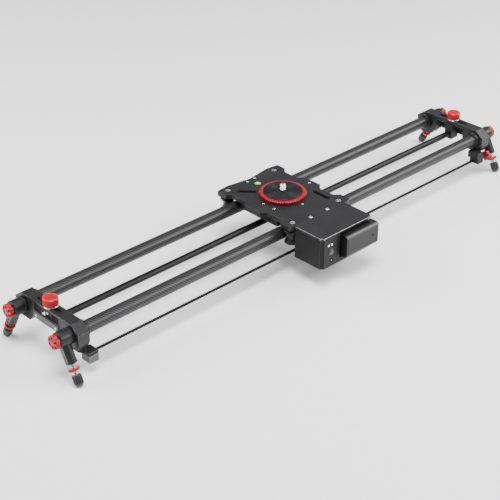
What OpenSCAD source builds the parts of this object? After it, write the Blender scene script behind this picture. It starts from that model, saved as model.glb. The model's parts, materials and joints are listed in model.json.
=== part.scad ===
// Motorised camera slider with a panorama tracking rod. Millimetres.
// X runs along the rails, Y across them with the motor box at -Y, Z is up.
// The origin is on the ground, midway between the end brackets and between the rails.

/* [Rails] */
// Clear distance between the two end brackets
bracket_gap = 906; // [520:2:1300]
// Distance between the centres of the two rails
rail_spacing = 113; // [94:1:150]
// Outer diameter of a rail tube
rail_d = 21; // [18:0.5:24]
// Wall of a rail tube
rail_wall = 1.5; // [1:0.1:3]
// Height of the rail centres above the ground
rail_z = 66.4; // [55:0.1:100]
// Depth of a rail in its bracket
rail_seat = 16; // [10:1:17]
// Outer diameter of the clamp collar on each rail end
collar_d = 28; // [27:0.5:34]
// Length of a clamp collar
collar_len = 8; // [5:0.5:14]

/* [Tracking rod] */
// Diameter of the tracking rod
rod_d = 11; // [8:0.5:12]
// Drop of the rod centre below the rail centres
rod_drop = 7; // [5:0.5:8]
// Travel of the rod to each side
rod_travel = 22; // [10:1:24]
// Width of the block that holds each rod end
block_w = 16; // [14:0.5:18]
// Reach of a block past the bracket's inner face
block_reach = 3; // [1:0.5:6]

/* [End brackets] */
// Thickness of a bracket along the rails
bracket_t = 20; // [18.5:0.5:26]
// Height of a bracket's top above the rail centres
bracket_rise = 18.6; // [17:0.2:26]
// Reach of a bracket beyond the rail centres
ear_reach = 20.5; // [18:0.5:26]
// Drop of a bracket's ears below the rail centres
ear_drop = 22.4; // [20:0.2:28]
// Drop of a bracket's waist below the rail centres
waist_drop = 10.4; // [6:0.2:14]
// Thickness of the top wall over the rod block
top_wall = 6; // [4:0.5:8]
// Thickness of the outer wall behind the rod block
outer_wall = 3; // [2:0.5:4]
// Length of the slot that the clamp screw runs in
slot_len = 64; // [60:1:70]
// Diameter of the clamp screw on a rod block
clamp_screw_d = 6; // [4:0.5:8]
// Diameter of the clamp knob
clamp_knob_d = 24; // [18:0.5:30]
// Height of the clamp knob
clamp_knob_h = 13; // [10:0.5:18]
// Radius of the tripod thread under each bracket
tripod_r = 3.175; // [3.175, 4.7625]
// Depth of the tripod thread
tripod_depth = 8; // [6:0.5:8.5]

/* [Legs] */
// Splay of a leg from the vertical, in degrees
splay = 28.5; // [10:0.5:35]
// Outer diameter of a leg tube
leg_d = 18; // [15:0.5:20]
// Diameter of the barrel at the top of a leg
barrel_d = 25.5; // [24:0.5:30]
// Length of the barrel along its pivot
barrel_len = 22.5; // [21:0.5:30]
// Diameter of a leg's pivot stud
pivot_d = 8; // [6:0.5:10]
// Diameter of the knob that locks a leg
pivot_knob_d = 23; // [18:0.5:28]
// Thickness of the knob that locks a leg
pivot_knob_t = 8; // [6:0.5:12]
// Diameter of a rubber foot
foot_d = 15; // [14:0.5:22]
// Length of a rubber foot
foot_len = 19; // [14:0.5:26]
// Diameter of the threaded stud of a foot
stud_d = 8; // [6:0.5:10]
// Diameter of the lock ring on a foot's stud
ring_d = 17.5; // [17:0.5:24]
// Thickness of the lock ring
ring_t = 4; // [3:0.5:6]
// Bare thread between a foot and its ring
thread_low = 6; // [4:0.5:10]
// Bare thread between a ring and the leg tube
thread_high = 7; // [6.5:0.5:12]

/* [Carriage] */
// Place of the carriage along the rails
carriage_x = 12; // [-60:1:60]
// Half length of the carriage plate along the rails
plate_half = 71; // [66:1:80]
// Thickness of the carriage plate
plate_t = 8; // [6:0.5:10]
// Clearance between the rail tops and the plate
plate_lift = 7.1; // [2.2:0.1:8]
// Distance of a roller axle from the carriage centre, along the rails
roller_x = 54; // [50:1:64]
// Outer diameter of a roller's flanges
roller_d = 26; // [22:0.5:27]
// Height of a roller
roller_h = 23; // [22:0.5:25]
// Distance between a roller axle and the rail centre
roller_reach = 19.5; // [17:0.1:20]
// Diameter of a roller's axle bolt
axle_d = 8; // [6:0.5:8]
// Height of the frame under the plate
frame_h = 14; // [12:0.5:15]
// Diameter of the ring around the pan platform
pan_ring_d = 80; // [76:1:96]
// Height of the ring around the pan platform
pan_ring_h = 6.4; // [4:0.2:10]
// Diameter of the pan platform
platform_d = 66; // [54:1:72]
// Height of the pan platform above the ring
platform_rise = 1.6; // [0.5:0.1:4]
// Diameter of the pan shaft
pan_shaft_d = 26; // [18:0.5:30]
// Distance of the crank pin from the pan axis
crank_r = 34; // [28:0.5:36]
// Diameter of the crank pin
crank_pin_d = 5; // [4:0.5:6]
// Radius of the camera stud
stud_r = 4.7625; // [3.175, 4.7625]
// Length of the camera stud above the platform
stud_len = 12; // [8:0.5:14]

/* [Motor box] */
// Width of the motor box along the rails
box_w = 117; // [108:1:140]
// Depth of the motor box across the rails
box_depth = 60.5; // [56:0.5:80]
// Height of the motor box with its cover
box_h = 56; // [55:0.5:64]
// Offset of the motor box from the carriage centre
box_shift = -3.5; // [-4:0.5:4]
// Wall of the motor box
box_wall = 2.5; // [1.5:0.1:3]
// Thickness of the box cover
cover_t = 3.5; // [2:0.5:4]
// Chamfer on the upright front edges of the box
box_chamfer = 5; // [2:0.5:6]
// Length of the battery
battery_len = 75; // [70.8:0.2:77]
// Height of the battery as it hangs on the box
battery_h = 38.4; // [38.4]
// Thickness of the battery
battery_t = 20.5; // [20.5, 38.5]
// Diameter of the power button
button_d = 8; // [6:0.5:10]

/* [Belt drive] */
// Width of the belt
belt_w = 6; // [5:0.5:9]
// Thickness of the belt
belt_t = 1.2; // [1:0.1:1.6]
// Drop of the belt below the rail centres
belt_drop = 36; // [34:0.5:38]
// Distance of the belt outboard of the front rail's centre
belt_out = 11.5; // [10:0.5:14]
// Outer radius of the drive pulley over its teeth
pulley_r = 11.3; // [10.5:0.1:12]
// Number of teeth on the drive pulley
pulley_teeth = 36; // [20:1:40]
// Radius of a belt idler
idler_r = 6; // [5:0.5:7]
// Diameter of the belt tension knob
tension_knob_d = 19; // [16:0.5:20]
// Thickness of the belt tension knob
tension_knob_t = 9; // [6:0.5:12]

/* [Fits] */
// Radial clearance of a shaft that turns or slides in its bore
running_fit = 0.05; // [0.02:0.01:0.1]
// Clearance between pieces that are pressed or screwed together
seat_fit = 0.02; // [0.01:0.01:0.04]
// Clearance between pieces that pass each other
free_gap = 0.4; // [0.3:0.1:0.8]

/* [Hidden] */
$fn = 64;
cut = 1;

rail_y = rail_spacing / 2;
rail_r = rail_d / 2;
inner_x = bracket_gap / 2;
outer_x = inner_x + bracket_t;
bracket_top = rail_z + bracket_rise;
ear_y = rail_y + ear_reach;
ear_z = rail_z - ear_drop;
waist_z = rail_z - waist_drop;
slot_w = clamp_screw_d + 1;

rod_z = rail_z - rod_drop;
block_bottom = rod_z - rod_d / 2 - 3.4;
channel_top = bracket_top - top_wall;
block_top = channel_top - free_gap;
block_back = outer_x - outer_wall - free_gap;
clamp_x = inner_x + bracket_t / 2;
channel_half = rod_travel + block_w / 2 + 1;
washer_t = 1.8;
washer_d = clamp_knob_d - 1;
clamp_knob_z = bracket_top + free_gap + washer_t + 0.2;
index_screw_z = bracket_top - 10;
window_bottom = rail_z + 1.6;
window_top = bracket_top - 3.4;
scale_t = 1.5;
scale_top = rail_z + 0.6;

barrel_x = outer_x + free_gap;
leg_x = barrel_x + barrel_len - leg_d / 2 - 0.7;
pivot_knob_x = barrel_x + barrel_len + free_gap;
foot_r = foot_d / 2;
foot_centre = (rail_z - foot_r) / cos(splay);
foot_top = foot_centre + foot_r - foot_len;
ring_top = foot_top - thread_low - ring_t;
tube_end = ring_top - thread_high;
stud_top = tube_end - 12;

plate_z = rail_z + rail_r + plate_lift;
plate_top = plate_z + plate_t;
roller_y = rail_y + roller_reach;
roller_bottom = rail_z - roller_h / 2;
roller_top = rail_z + roller_h / 2;
nut_h = 3.5;
plate_ear_y = roller_y + 9;
box_y = roller_y + 14;
frame_half_x = 56;
frame_half_y = rail_y - rail_r - 2.5;
frame_wall = 7;
frame_window_y = rod_travel + 13.6;
guide_half_y = 12;
guide_back = 18;
guide_top = plate_z - 9;
crank_z = guide_top + 1.5;
crank_t = plate_z - 1.5 - crank_z;
pin_play = 1;
pin_bottom = rod_z + rod_d / 2 + 2;
pan_max = 40;
ring_z = plate_top + free_gap;
platform_top = ring_z + pan_ring_h + platform_rise;

belt_y = rail_y + belt_out;
belt_z = rail_z - belt_drop;
belt_top = belt_z + belt_t / 2;
belt_bottom = belt_z - belt_t / 2;
clamp_len = 17;
clamp_w = 20;
clamp_h = 12;
clamp_end = inner_x - 13;
shaft_z = belt_top + free_gap + pulley_r;
shaft_d = 6;
flange_r = pulley_r + 1.6;
motor_d = 28;
gearbox_d = 33;
gearbox_z = shaft_z + 12.5;

box_x0 = carriage_x + box_shift - box_w / 2;
box_x1 = box_x0 + box_w;
box_front = box_y + box_depth;
box_bottom = min(plate_top - box_h, gearbox_z - gearbox_d / 2 - box_wall - 0.2);
cover_z = plate_top - cover_t;
battery_x = box_x1 - battery_len + 2.5;
battery_z = box_bottom + 9.5;
bay_x = battery_x - 4;
bay_z0 = battery_z - 2;
bay_depth = 10.3;
bay_y = box_front - bay_depth;
battery_plate_t = 2;
battery_y = bay_y + battery_plate_t + 0.3;
panel_w = bay_x - box_x0 - box_chamfer - 1;
panel_x = box_x0 + box_chamfer + 0.5;
panel_t = 0.8;
button_x = panel_x + panel_w / 2 - 2;
button_z = box_bottom + 26.8;

idler_x = pulley_r + idler_r;
idler_z = belt_bottom - free_gap - idler_r;
idler_axle_d = 4;
hold_reach = 14;
hold_back = 4;
hold_drop = 6;
stem_d = 6;
stud_seat = 5;
stud_neck_r = stud_r - 0.8;
stud_neck = 1.5;
stud_relief = 1;
tension_x = leg_x - leg_d / 2 - free_gap - tension_knob_t;
tension_y = belt_y + 8;
tension_z = ear_z - 10;
hold_front = tension_y + 4;

black = [0.07, 0.07, 0.075];
anodised = [0.16, 0.165, 0.17];
red = [0.85, 0.18, 0.2];
steel = [0.75, 0.75, 0.77];

// Turns a shape drawn in Y and Z so that it is extruded along X.
module along_x() {
    rotate([90, 0, 90]) children();
}

// A cylinder along X that starts at the given point.
module rod_x(at, d, len) {
    translate(at) rotate([0, 90, 0]) cylinder(d = d, h = len);
}

// A cylinder along Y that starts at the given point and runs towards -Y.
module rod_y(at, d, len) {
    translate(at) rotate([90, 0, 0]) cylinder(d = d, h = len);
}

// A flat rectangle with round corners, centred.
module rounded(w, h, r) {
    square([w - 2 * r, h], center = true);
    square([w, h - 2 * r], center = true);
    for (x = [-1, 1], y = [-1, 1]) translate([x * (w / 2 - r), y * (h / 2 - r)]) circle(r = r);
}

// An oblong between two points in the XY plane.
module oblong(from, to, w) {
    way = atan2(to[1] - from[1], to[0] - from[0]);
    start = [for (a = [90 : 10 : 270]) from + w / 2 * [cos(way + a), sin(way + a)]];
    end = [for (a = [-90 : 10 : 90]) to + w / 2 * [cos(way + a), sin(way + a)]];
    polygon(concat(start, end));
}

module on_side(side) {
    if (side < 0) mirror([1, 0, 0]) children();
    else children();
}

// ---- frame: brackets, rails, scales, belt anchors ----

module bracket_outline() {
    half = [
        [rail_y + 4.5, bracket_top], [ear_y, bracket_top - 12], [ear_y, waist_z],
        [ear_y - 7, ear_z], [rail_y - 13, ear_z], [channel_half + 2, waist_z]
    ];
    other = [for (i = [len(half) - 1 : -1 : 0]) [-half[i][0], half[i][1]]];
    polygon(concat(half, other));
}

module bracket(side) {
    color(anodised) on_side(side) difference() {
        translate([inner_x, 0, 0]) along_x() linear_extrude(bracket_t) bracket_outline();
        for (y = [-rail_y, rail_y])
            rod_x([inner_x - cut, y, rail_z], rail_d + 2 * seat_fit, rail_seat + cut);
        translate([inner_x - cut, -channel_half, ear_z])
            cube([bracket_t - outer_wall + cut, 2 * channel_half, channel_top - ear_z]);
        translate([outer_x - outer_wall - cut, -channel_half, window_bottom])
            cube([outer_wall + 2 * cut, 2 * channel_half, window_top - window_bottom]);
        translate([clamp_x, 0, channel_top - cut]) linear_extrude(top_wall + 2 * cut)
            oblong([0, slot_w / 2 - slot_len / 2], [0, slot_len / 2 - slot_w / 2], slot_w);
        for (y = [-rail_y, rail_y])
            rod_x([inner_x + rail_seat - cut, y, rail_z], pivot_d + 2 * seat_fit, bracket_t);
        translate([clamp_x, rail_y, ear_z - cut]) cylinder(r = tripod_r, h = tripod_depth + cut);
    }
}

module rail(y) {
    end = inner_x + rail_seat;
    color(black) difference() {
        rod_x([-end, y, rail_z], rail_d, 2 * end);
        rod_x([-end - cut, y, rail_z], rail_d - 2 * rail_wall, 2 * (end + cut));
    }
}

module rail_collars() {
    color(black) for (side = [-1, 1], y = [-rail_y, rail_y]) on_side(side) difference() {
        rod_x([inner_x - collar_len, y, rail_z], collar_d, collar_len);
        rod_x([inner_x - collar_len - cut, y, rail_z], rail_d + 2 * seat_fit, collar_len + 2 * cut);
    }
}

module scale_plates() {
    h = scale_top - waist_z - 0.4;
    color([0.45, 0.45, 0.46]) for (side = [-1, 1]) on_side(side)
        translate([outer_x, 0, scale_top - h / 2]) along_x() linear_extrude(scale_t) rounded(60, h, 1.5);
}

// Pivot studs for the legs and the small screws of the scales and the belt clamp.
module frame_fasteners() {
    stud_x = inner_x + rail_seat;
    color(steel) for (side = [-1, 1]) on_side(side) {
        for (y = [-rail_y, rail_y])
            rod_x([stud_x, y, rail_z], pivot_d, pivot_knob_x + pivot_knob_t * 0.7 - stud_x);
        for (y = [-24, 24]) rod_x([outer_x + scale_t, y, scale_top - 5.5], 4.5, 1.2);
    }
    color(steel) for (x = [-1, 1], y = [-1, 1])
        translate([-clamp_end - clamp_len / 2 + x * 5.5, -belt_y + y * 7.5, belt_bottom - clamp_h - 2.5])
            cylinder(d = 4, h = 2.5);
}

module belt_clamp_left() {
    color([0.5, 0.5, 0.52])
        translate([-clamp_end - clamp_len, -belt_y - clamp_w / 2, belt_bottom - clamp_h])
            cube([clamp_len, clamp_w, clamp_h]);
}

// Foot over the left end of the belt and a raked web up to the bracket's ear.
module belt_arm_left() {
    foot_top_z = belt_top + 5;
    web = [
        [inner_x + 2, ear_z], [inner_x + 2, foot_top_z], [clamp_end + 4, foot_top_z],
        [clamp_end + 4, belt_top], [clamp_end + clamp_len, belt_top], [outer_x - 3, ear_z - 4], [outer_x - 3, ear_z]
    ];
    color(black) on_side(-1) union() {
        translate([clamp_end, -belt_y - clamp_w / 2, belt_top])
            cube([clamp_len, clamp_w, foot_top_z - belt_top]);
        translate([0, -rail_y + 8, 0]) rotate([90, 0, 0])
            linear_extrude(belt_y + clamp_w / 2 - rail_y - 2) polygon(web);
    }
}

// Stepped belt holder: a broad block under the bracket's ear, a narrow jaw round the belt and a stem
// that the tension knob turns on.
module belt_arm_right() {
    hold_x = inner_x - hold_reach;
    block_z = belt_top + hold_drop;
    jaw_z = belt_bottom - 3;
    w = hold_front - belt_y + clamp_w / 2;
    color(black) difference() {
        union() {
            translate([hold_x, -hold_front, block_z]) cube([hold_reach + hold_back, w, ear_z - block_z]);
            translate([hold_x, -hold_front, block_z]) cube([hold_reach, w, ear_z + 5 - block_z]);
            translate([clamp_end + 2, -hold_front, jaw_z]) cube([clamp_len - 2, w - 3, block_z - jaw_z]);
            rod_x([inner_x, -tension_y, tension_z], stem_d, tension_x - inner_x + tension_knob_t * 0.7);
        }
        translate([clamp_end, -belt_y - belt_w / 2, belt_bottom]) cube([clamp_len + cut, belt_w, belt_t]);
    }
}

module drive_belt() {
    color(black) translate([-clamp_end - clamp_len, -belt_y - belt_w / 2, belt_bottom])
        cube([2 * (clamp_end + clamp_len), belt_w, belt_t]);
}

module tension_knob() {
    color(red) difference() {
        rod_x([tension_x, -tension_y, tension_z], tension_knob_d, tension_knob_t);
        rod_x([tension_x - cut, -tension_y, tension_z], stem_d + 2 * running_fit,
              tension_knob_t * 0.7 + cut + free_gap);
        for (a = [0 : 60 : 300]) translate([tension_x - cut, -tension_y, tension_z]) rotate([a, 0, 0])
            rod_x([0, tension_knob_d / 2 + 1, 0], 5, tension_knob_t + 2 * cut);
    }
}

// ---- legs ----

// Puts a leg drawn hanging down from its pivot on one corner of the slider.
module at_leg(side, row) {
    on_side(side) translate([leg_x, row * rail_y, rail_z]) rotate([row * splay, 0, 0]) children();
}

module leg(side, row) {
    color(anodised) at_leg(side, row) difference() {
        union() {
            rod_x([barrel_x - leg_x, 0, 0], barrel_d, barrel_len);
            translate([0, 0, -tube_end]) cylinder(d = leg_d, h = tube_end);
        }
        rod_x([barrel_x - leg_x - cut, 0, 0], pivot_d + 2 * running_fit, barrel_len + 2 * cut);
        translate([0, 0, -tube_end - cut])
            cylinder(d = stud_d + 2 * running_fit, h = tube_end + cut - barrel_d / 2 + 3);
    }
}

module pivot_knob(side, row) {
    grip = pivot_knob_d / 2;
    color(red) on_side(side) translate([pivot_knob_x, row * rail_y, rail_z]) difference() {
        rod_x([0, 0, 0], pivot_knob_d, pivot_knob_t);
        rod_x([-cut, 0, 0], pivot_d + 2 * running_fit, pivot_knob_t * 0.7 + cut + free_gap);
        for (a = [30 : 60 : 330]) rotate([a, 0, 0]) rod_x([-cut, grip + 0.6, 0], 5, pivot_knob_t + 2 * cut);
    }
}

module lock_ring(side, row) {
    color(red) at_leg(side, row) translate([0, 0, -ring_top - ring_t]) difference() {
        cylinder(d = ring_d, h = ring_t);
        translate([0, 0, -cut]) cylinder(d = stud_d + 2 * running_fit, h = ring_t + 2 * cut);
    }
}

// Rubber foot with a round tip, moulded on its threaded stud.
module foot(side, row) {
    color([0.2, 0.22, 0.21]) at_leg(side, row) {
        translate([0, 0, -foot_centre]) cylinder(d = foot_d, h = foot_centre - foot_top);
        translate([0, 0, -foot_centre]) sphere(d = foot_d);
        translate([0, 0, -foot_top]) cylinder(d = stud_d, h = foot_top - stud_top);
    }
}

// ---- tracking rod ----

module tracking_rod() {
    color(black) rod_x([-inner_x - 10, 0, rod_z], rod_d, bracket_gap + 20);
}

module rod_block(side) {
    color(black) on_side(side) difference() {
        translate([inner_x - block_reach, -block_w / 2, block_bottom])
            cube([block_back - inner_x + block_reach, block_w, block_top - block_bottom]);
        rod_x([inner_x - block_reach - cut, 0, rod_z], rod_d + 2 * seat_fit, 10 + block_reach + cut);
        translate([clamp_x, 0, block_top - 8]) cylinder(d = clamp_screw_d + 2 * seat_fit, h = 8 + cut);
    }
}

// Upright clamp screws with their washers, and the index screw seen in each window.
module rod_clamp_screws() {
    color(steel) for (side = [-1, 1]) on_side(side) {
        translate([clamp_x, 0, block_top - 8])
            cylinder(d = clamp_screw_d, h = clamp_knob_z + clamp_knob_h * 0.7 - block_top + 8);
        translate([clamp_x, 0, bracket_top + free_gap]) cylinder(d = washer_d, h = washer_t);
        rod_x([block_back, 0, index_screw_z], 5, 1.6);
    }
}

module clamp_knob(side) {
    color(red) on_side(side) translate([clamp_x, 0, clamp_knob_z]) difference() {
        cylinder(d = clamp_knob_d, h = clamp_knob_h);
        translate([0, 0, -cut])
            cylinder(d = clamp_screw_d + 2 * running_fit, h = clamp_knob_h * 0.7 + cut + free_gap);
    }
}

// ---- carriage ----

module at_carriage() {
    translate([carriage_x, 0, 0]) children();
}

// Waisted plate: ears over the rollers, a bulge on the rod line and a shallow V at the back.
module plate_outline() {
    waist = plate_half - 10;
    bulge = 18;
    back = [
        [plate_half, bulge], [waist, bulge + 8], [waist, roller_y - 18], [plate_half - 1, roller_y - 11],
        [plate_half, plate_ear_y - 2], [plate_half - 3, plate_ear_y], [46, plate_ear_y + 2], [0, plate_ear_y - 5]
    ];
    front = [
        [box_w / 2 - abs(box_shift), -box_y], [plate_half - 3, -plate_ear_y - 2], [plate_half, -plate_ear_y + 1],
        [plate_half - 1, -roller_y + 11], [waist, -roller_y + 18], [waist, -bulge - 8], [plate_half, -bulge]
    ];
    right = concat(front, back);
    left = [for (i = [len(right) - 2 : -1 : 0]) [-right[i][0], right[i][1]]];
    polygon(concat(right, left));
}

// Small screws in the plate, as places relative to the carriage centre.
plate_screw_places = [[-10, 75], [8, 76], [-44, 0], [63, 0], [-44, -24], [1, -44]];
// Larger screws that hold the motor box to the plate.
box_screw_places = [[-19.5, -roller_y - 7.5], [19.5, -roller_y - 7.5]];
bolt_sink = 4.5;
bolt_sink_d = 13;
box_screw_sink = 4;
plate_screw_sink = 2.5;
level_sink = 4;
level_d = 12;
level_place = [-2, 58];

module carriage_plate() {
    color(anodised) at_carriage() difference() {
        translate([0, 0, plate_z]) linear_extrude(plate_t) difference() {
            plate_outline();
            oblong([-44, roller_y - 18], [-27, roller_y - 36], 8);
            oblong([46, -roller_y + 46], [46, -roller_y + 16], 8);
            circle(d = pan_shaft_d + 2 * running_fit);
            for (x = [-roller_x, roller_x], y = [-roller_y, roller_y])
                translate([x, y]) circle(d = axle_d + 2 * seat_fit);
        }
        for (x = [-roller_x, roller_x], y = [-roller_y, roller_y])
            translate([x, y, plate_top - bolt_sink]) cylinder(d = bolt_sink_d, h = bolt_sink + cut);
        for (p = box_screw_places) translate([p[0], p[1], plate_top - box_screw_sink])
            cylinder(d = 10.5, h = box_screw_sink + cut);
        for (p = plate_screw_places) translate([p[0], p[1], plate_top - plate_screw_sink])
            cylinder(d = 5.4, h = plate_screw_sink + cut);
        translate([level_place[0], level_place[1], plate_top - level_sink])
            cylinder(d = level_d + 2 * seat_fit, h = level_sink + cut);
    }
}

module plate_screws() {
    color(steel) at_carriage() {
        for (p = box_screw_places) translate([p[0], p[1], plate_top - box_screw_sink])
            cylinder(d = 8.5, h = box_screw_sink - 0.6);
        for (p = plate_screw_places) translate([p[0], p[1], plate_top - plate_screw_sink])
            cylinder(d = 5, h = plate_screw_sink + 0.1);
    }
}

module bubble_level() {
    color([0.6, 0.85, 0.3]) at_carriage() translate([level_place[0], level_place[1], plate_top - level_sink])
        cylinder(d = level_d, h = level_sink + 0.4);
}

module carriage_frame() {
    color(black) at_carriage() difference() {
        translate([-frame_half_x, -frame_half_y, plate_z - frame_h])
            cube([2 * frame_half_x, 2 * frame_half_y, frame_h]);
        translate([frame_wall - frame_half_x, -frame_window_y, plate_z - frame_h - cut])
            cube([2 * (frame_half_x - frame_wall), 2 * frame_window_y, frame_h + 2 * cut]);
    }
}

// Roller axles with their nuts and sleeves, and the axles of the two belt idlers.
module axle_bolts() {
    nut_z = roller_bottom - nut_h;
    color(steel) at_carriage() {
        for (x = [-roller_x, roller_x], y = [-roller_y, roller_y]) translate([x, y, 0]) {
            translate([0, 0, nut_z]) cylinder(d = axle_d, h = plate_top - bolt_sink - nut_z);
            translate([0, 0, nut_z]) cylinder(d = bolt_sink_d, h = nut_h - free_gap);
            translate([0, 0, roller_top + free_gap]) cylinder(d = bolt_sink_d, h = plate_z - roller_top - free_gap);
            translate([0, 0, plate_top - bolt_sink]) cylinder(d = bolt_sink_d - 2, h = bolt_sink - 0.5);
        }
        for (x = [-idler_x, idler_x])
            rod_y([x, -belt_y + belt_w / 2 + 1, idler_z], idler_axle_d, box_y - belt_y + belt_w / 2 + 1);
    }
}

module roller(x, y) {
    color(black) at_carriage() translate([x * roller_x, y * roller_y, rail_z]) difference() {
        translate([0, 0, -roller_h / 2]) cylinder(d = roller_d, h = roller_h);
        rotate_extrude() intersection() {
            translate([roller_reach, 0]) circle(r = rail_r + free_gap);
            translate([1, -roller_h / 2 - cut]) square([roller_d, roller_h + 2 * cut]);
        }
        translate([0, 0, -roller_h / 2 - cut])
            cylinder(d = axle_d + 2 * running_fit, h = roller_h + 2 * cut);
    }
}

// ---- pan platform and its crank ----

module guide_block() {
    slot_x = [crank_r * cos(pan_max) - crank_pin_d / 2 - 1, crank_r + crank_pin_d / 2 + 1];
    len = guide_back + slot_x[1] + 4;
    color([0.3, 0.3, 0.31]) at_carriage() difference() {
        translate([-guide_back, -guide_half_y, block_bottom])
            cube([len, 2 * guide_half_y, guide_top - block_bottom]);
        rod_x([-guide_back - cut, 0, rod_z], rod_d + 2 * running_fit, len + 2 * cut);
        translate([slot_x[0], -crank_pin_d / 2 - pin_play, pin_bottom - 0.5])
            cube([slot_x[1] - slot_x[0], crank_pin_d + 2 * pin_play, guide_top]);
    }
}

module pan_shaft() {
    color(steel) at_carriage() {
        translate([0, 0, crank_z]) cylinder(d = pan_shaft_d, h = platform_top - stud_seat - crank_z);
        translate([0, 0, crank_z]) linear_extrude(crank_t) oblong([0, 0], [crank_r, 0], crank_pin_d + 5);
        translate([crank_r, 0, pin_bottom]) cylinder(d = crank_pin_d, h = crank_z - pin_bottom + 1);
    }
}

module pan_ring() {
    color([0.75, 0.1, 0.12]) at_carriage() translate([0, 0, ring_z]) difference() {
        cylinder(d = pan_ring_d, h = pan_ring_h);
        translate([0, 0, -cut]) cylinder(d = platform_d + 2 * seat_fit, h = pan_ring_h + 2 * cut);
    }
}

module head_platform() {
    color(black) at_carriage() difference() {
        translate([0, 0, ring_z]) cylinder(d = platform_d, h = platform_top - ring_z);
        translate([0, 0, ring_z - cut])
            cylinder(d = pan_shaft_d + 2 * seat_fit, h = platform_top - stud_seat - ring_z + cut);
        translate([0, 0, platform_top - stud_seat - cut])
            cylinder(r = stud_neck_r + seat_fit, h = stud_seat + 2 * cut);
        translate([0, 0, platform_top - stud_relief]) cylinder(r = stud_r + free_gap, h = stud_relief + cut);
    }
}

// Camera stud with a plain neck where it enters the platform.
module head_stud() {
    color(steel) at_carriage() translate([0, 0, platform_top]) {
        translate([0, 0, -stud_seat]) cylinder(r = stud_neck_r, h = stud_seat + stud_neck);
        translate([0, 0, stud_neck]) cylinder(r = stud_r, h = stud_len - stud_neck);
    }
}

// ---- motor box ----

module box_outline(inset) {
    c = box_chamfer;
    x0 = box_x0 + inset;
    x1 = box_x1 - inset;
    y0 = -box_front + inset;
    y1 = -box_y - inset;
    polygon([[x0 + c, y0], [x1 - c, y0], [x1, y0 + c], [x1, y1], [x0, y1], [x0, y0 + c]]);
}

module motor_housing() {
    color(black) difference() {
        union() {
            translate([0, 0, box_bottom]) linear_extrude(cover_z - box_bottom) box_outline(0);
            translate([carriage_x - 30, -box_y, plate_z - 4]) cube([60, 12, 4]);
        }
        difference() {
            translate([0, 0, box_bottom + box_wall]) linear_extrude(box_h) box_outline(box_wall);
            translate([bay_x - 2, -box_front, box_bottom]) cube([box_w, bay_depth + 2, box_h]);
        }
        translate([bay_x, -box_front - cut, bay_z0]) cube([box_w, bay_depth + cut, box_h]);
        rod_y([carriage_x, -box_y + cut, shaft_z], shaft_d + 1, box_wall + 2 * cut);
        rod_y([button_x, -box_front + box_wall + cut, button_z], button_d + 1, box_wall + 2 * cut);
    }
    color(black) idler_bracket();
}

// Plate that hangs from the box and carries the idler axles beside the belt.
module idler_bracket() {
    t = 3;
    difference() {
        translate([carriage_x - idler_x - 7, -box_y, idler_z - 7])
            cube([2 * idler_x + 14, t, box_bottom + 6 - idler_z + 7]);
        for (x = [-idler_x, idler_x])
            rod_y([carriage_x + x, -box_y + t + cut, idler_z], idler_axle_d + 2 * seat_fit, t + 2 * cut);
        rod_y([carriage_x, -box_y + t + cut, shaft_z], shaft_d + 1, t + 2 * cut);
    }
}

module housing_cover() {
    color(black) translate([0, 0, cover_z]) linear_extrude(cover_t) box_outline(0);
}

module control_panel() {
    color(black) difference() {
        translate([panel_x + panel_w / 2, -box_front, (box_bottom + cover_z) / 2]) rotate([90, 0, 0])
            linear_extrude(panel_t) rounded(panel_w, cover_z - box_bottom - 2, 1.5);
        rod_y([button_x, -box_front + cut, button_z], button_d + 2 * running_fit, panel_t + 2 * cut);
    }
}

module circuit_board() {
    color([0.05, 0.3, 0.12]) translate([panel_x, -box_front + box_wall + 3, box_bottom + 5])
        cube([panel_w - 4, 1.6, 38]);
}

module status_leds() {
    color([0.9, 0.95, 1]) for (x = [-7, 0])
        rod_y([button_x + x, -box_front - panel_t, box_bottom + 40.7], 3.2, 0.6);
}

module power_button() {
    color([0.2, 0.2, 0.21]) rod_y([button_x, -box_front + 2, button_z], button_d, 2 + panel_t + 1.4);
}

module battery_plate() {
    color(black) translate([battery_x + 2, -bay_y - battery_plate_t, battery_z + 2])
        cube([battery_len - 6, battery_plate_t, battery_h - 4]);
}

module battery() {
    color([0.2, 0.2, 0.21]) translate([battery_x, -battery_y - battery_t / 2, battery_z + battery_h / 2])
        along_x() linear_extrude(battery_len) rounded(battery_t, battery_h, 2);
}

// Motor with an offset gearbox, so that its shaft comes out low on the box.
module gear_motor() {
    y0 = -box_y - box_wall;
    color(steel) {
        rod_y([carriage_x, y0, gearbox_z], gearbox_d, 15);
        rod_y([carriage_x, y0 - 15, gearbox_z], motor_d, 24);
    }
}

module drive_pulley() {
    tooth = 360 / pulley_teeth;
    y0 = -belt_y + belt_w / 2;
    color(steel) translate([carriage_x, 0, shaft_z]) {
        rod_y([0, y0 + 1.5, 0], shaft_d, box_y - belt_y + belt_w / 2 + 1.5 + box_wall - 0.3);
        difference() {
            rod_y([0, y0 + 0.4, 0], 2 * pulley_r, belt_w + 0.8);
            for (a = [tooth / 2 : tooth : 360]) rotate([0, a, 0])
                rod_y([0, y0 + 0.4 + cut, pulley_r], pulley_r * 0.06, belt_w + 0.8 + 2 * cut);
        }
        rod_y([0, y0 + 1.4, 0], 2 * flange_r, 1);
        rod_y([0, y0 - belt_w - 0.4, 0], 2 * flange_r, 1);
    }
}

module idler(x) {
    color(steel) difference() {
        rod_y([carriage_x + x * idler_x, -belt_y + belt_w / 2 + 0.4, idler_z], 2 * idler_r, belt_w + 0.8);
        rod_y([carriage_x + x * idler_x, -belt_y + belt_w / 2 + cut + 0.4, idler_z],
            idler_axle_d + 2 * running_fit, belt_w + 0.8 + 2 * cut);
    }
}

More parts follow.
